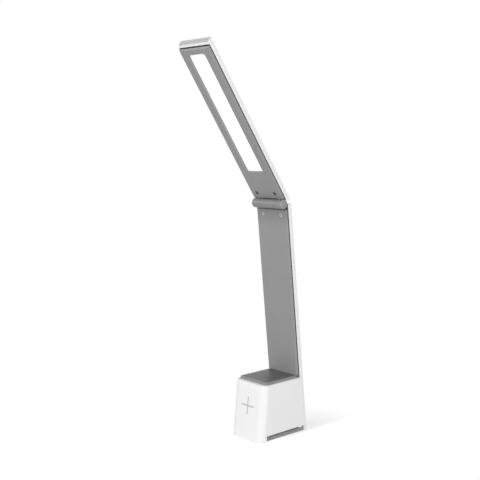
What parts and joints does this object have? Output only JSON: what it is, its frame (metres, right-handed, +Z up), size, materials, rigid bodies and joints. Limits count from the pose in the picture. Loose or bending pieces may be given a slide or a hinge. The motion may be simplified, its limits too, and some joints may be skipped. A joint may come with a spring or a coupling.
{
  "type": "folding desk lamp",
  "caption": "Folding desk lamp: a weighted base with a touch key, a slim leaning arm, and a flat light head on a friction barrel hinge.",
  "frame": {"origin": "middle of the anti-slip mat's underside, where the lamp rests on the table", "axes": "+Z up, +X to the lamp's right, -Y to its front, where the touch key is and the head leans"},
  "size_m": [0.042, 0.1252, 0.3702],
  "materials": {
    "white_plastic": "fine satin, moulded",
    "grey_plastic": "matt, fine grain",
    "pad_plastic": "satin, soft-touch",
    "mat_rubber": "matt, anti-slip",
    "seal_rubber": "matt",
    "steel": "plain, zinc plated",
    "dark_steel": "blackened",
    "hinge_grey": "satin paint, as the panels",
    "cap_grey": "satin",
    "grey_steel": "dull, zinc plated",
    "tip_grey": "satin",
    "bronze": "plain",
    "foam": "soft foam",
    "cell_foil": "foil pouch",
    "red_insulation": "smooth",
    "white_insulation": "smooth",
    "board_green": "solder mask",
    "black_parts": "plain",
    "copper": "tape",
    "mark_grey": "satin inlay",
    "diffuser_white": "milky, lit from behind",
    "board_white": "white solder mask on aluminium",
    "chip_yellow": "phosphor"
  },
  "bodies": {
    "stand": {"stand_shell": "white_plastic", "base_pad": "grey_plastic", "pad_inlay": "pad_plastic", "base_plate": "grey_plastic", "foot_mat": "mat_rubber", "plate_screws": "steel", "counterweight": "steel", "battery_foam": "foam", "battery_cell": "cell_foil", "battery_lead": "red_insulation", "control_board": "board_green", "board_parts": "black_parts", "board_screws": "steel", "usb_socket": "steel", "touch_mark": "mark_grey", "touch_electrode": "copper", "arm_panel": "grey_plastic", "arm_seal": "seal_rubber", "arm_screws": "grey_steel", "arm_lead": "white_insulation", "lower_leaf": "hinge_grey", "hinge_pin": "steel", "friction_washers": "bronze", "hinge_caps": "cap_grey"},
    "head": {"upper_leaf": "hinge_grey", "friction_sleeve": "bronze", "head_shell": "white_plastic", "tip_plate": "tip_grey", "head_frame": "grey_plastic", "head_seal": "seal_rubber", "head_screws": "dark_steel", "diffuser": "diffuser_white", "reflector": "diffuser_white", "light_board": "board_white", "light_chips": "chip_yellow", "head_lead": "white_insulation"}
  },
  "joints": [
    {"name": "head_hinge", "type": "hinge", "parent": "stand", "child": "head", "pos_m": [0, -0.00071, 0.22412], "axis": [1, 0, 0], "range_deg": [-28.6, 138.5]}
  ]
}
